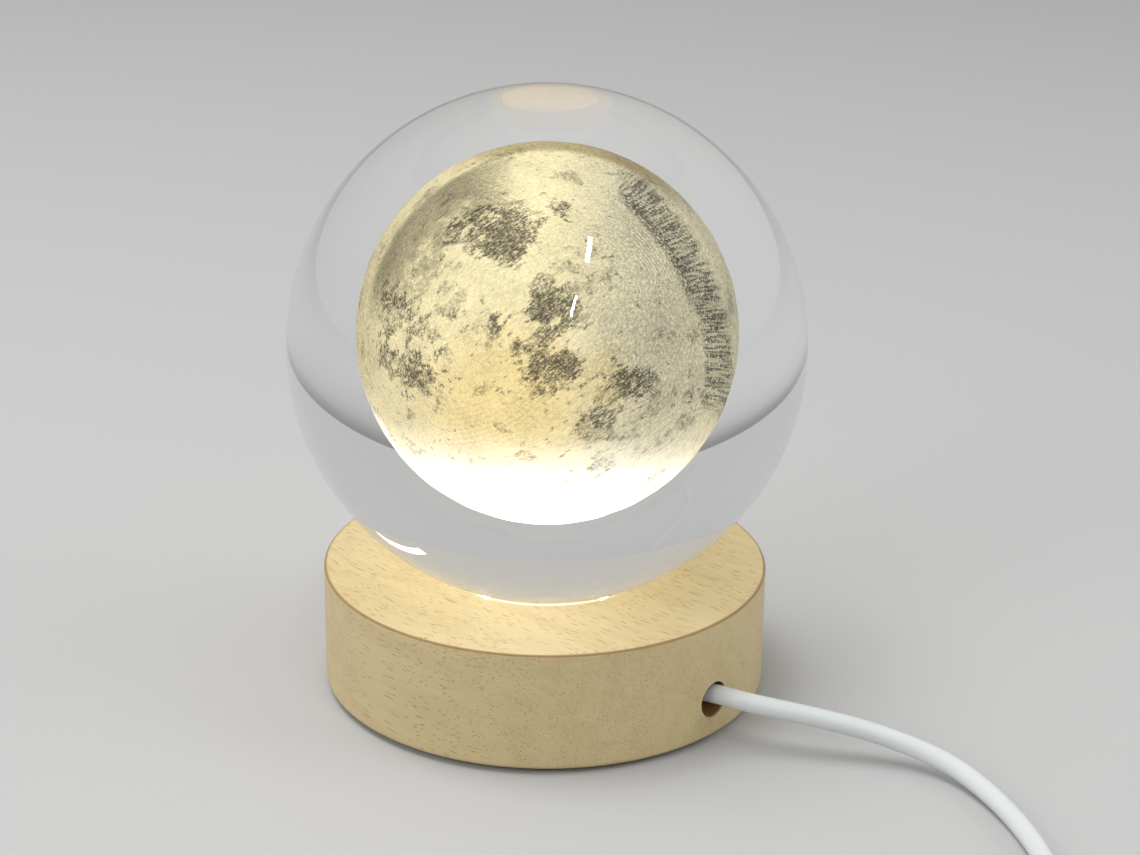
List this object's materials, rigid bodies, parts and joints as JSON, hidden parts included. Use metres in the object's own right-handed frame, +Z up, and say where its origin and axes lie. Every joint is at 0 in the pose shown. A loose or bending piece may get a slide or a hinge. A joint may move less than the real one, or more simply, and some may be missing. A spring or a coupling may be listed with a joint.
{
  "type": "moon lamp",
  "caption": "Clear crystal ball with a moon engraved inside, resting in the lit well of a round wooden base, with a thin cord, in-line push switch and low-voltage plug.",
  "frame": {"origin": "middle of the underside of the base, on the surface that the foot pads stand on", "axes": "+Z up through the middle of the base and the ball; -Y is the front; the cord leaves at the right of the front"},
  "size_m": [0.1215, 0.179, 0.0959],
  "materials": {
    "crystal": "polished clear optical glass",
    "engraving": "frosted white marks inside the glass, darker where they are sparse",
    "pale_wood": "sanded, thin clear satin lacquer",
    "board_white": "white solder mask on an aluminium core",
    "chip_white": "white moulded package",
    "phosphor": "yellow cast filling, warm white when lit",
    "resistor_black": "bare, no marking",
    "solder": "smooth solder",
    "red_insulation": "extruded",
    "black_insulation": "extruded",
    "screw_steel": "zinc plated",
    "nylon": "natural nylon",
    "cover_black": "fine moulded grain",
    "pad_rubber": "soft, matt",
    "cord_white": "smooth soft sheath",
    "strap_black": "woven hook-and-loop strap",
    "case_white": "satin moulding",
    "button_white": "satin moulding",
    "switch_black": "moulded",
    "spring_steel": "drawn wire",
    "board_green": "green solder mask",
    "plug_steel": "nickel plated sheet",
    "contact_gold": "gold plated"
  },
  "bodies": {
    "base": {"wood_base": "pale_wood", "light_board": "board_white", "light_chips": "chip_white", "chip_phosphors": "phosphor", "resistors": "resistor_black", "soldered_joints": "solder", "red_wire": "red_insulation", "black_wire": "black_insulation", "board_screws": "screw_steel", "cord_clip": "nylon", "cover_plate": "cover_black", "cover_screws": "screw_steel", "foot_pads": "pad_rubber", "cord_lead": "cord_white", "cord_coil": "cord_white", "coil_strap": "strap_black", "cord_link": "cord_white", "cord_tail": "cord_white", "switch_bottom": "case_white", "switch_top": "case_white", "switch_spring": "spring_steel", "switch_block": "switch_black", "switch_board": "board_green", "switch_wires": "red_insulation", "switch_screws": "screw_steel", "plug_relief": "case_white", "plug_body": "case_white", "plug_shell": "plug_steel", "plug_tongue": "button_white", "plug_contacts": "contact_gold"},
    "ball": {"crystal_ball": "crystal", "moon_engraving": "engraving"},
    "button": {"switch_button": "button_white", "switch_plunger": "switch_black"}
  },
  "joints": [
    {"name": "ball_lift", "type": "slide", "parent": "base", "child": "ball", "axis": [0, 0, 1], "range_m": [0, 0.03]},
    {"name": "button_press", "type": "slide", "parent": "base", "child": "button", "axis": [0, 0, -1], "range_m": [0, 0.0015], "stiffness_N_per_m": 800, "deforming": ["switch_spring"]}
  ]
}
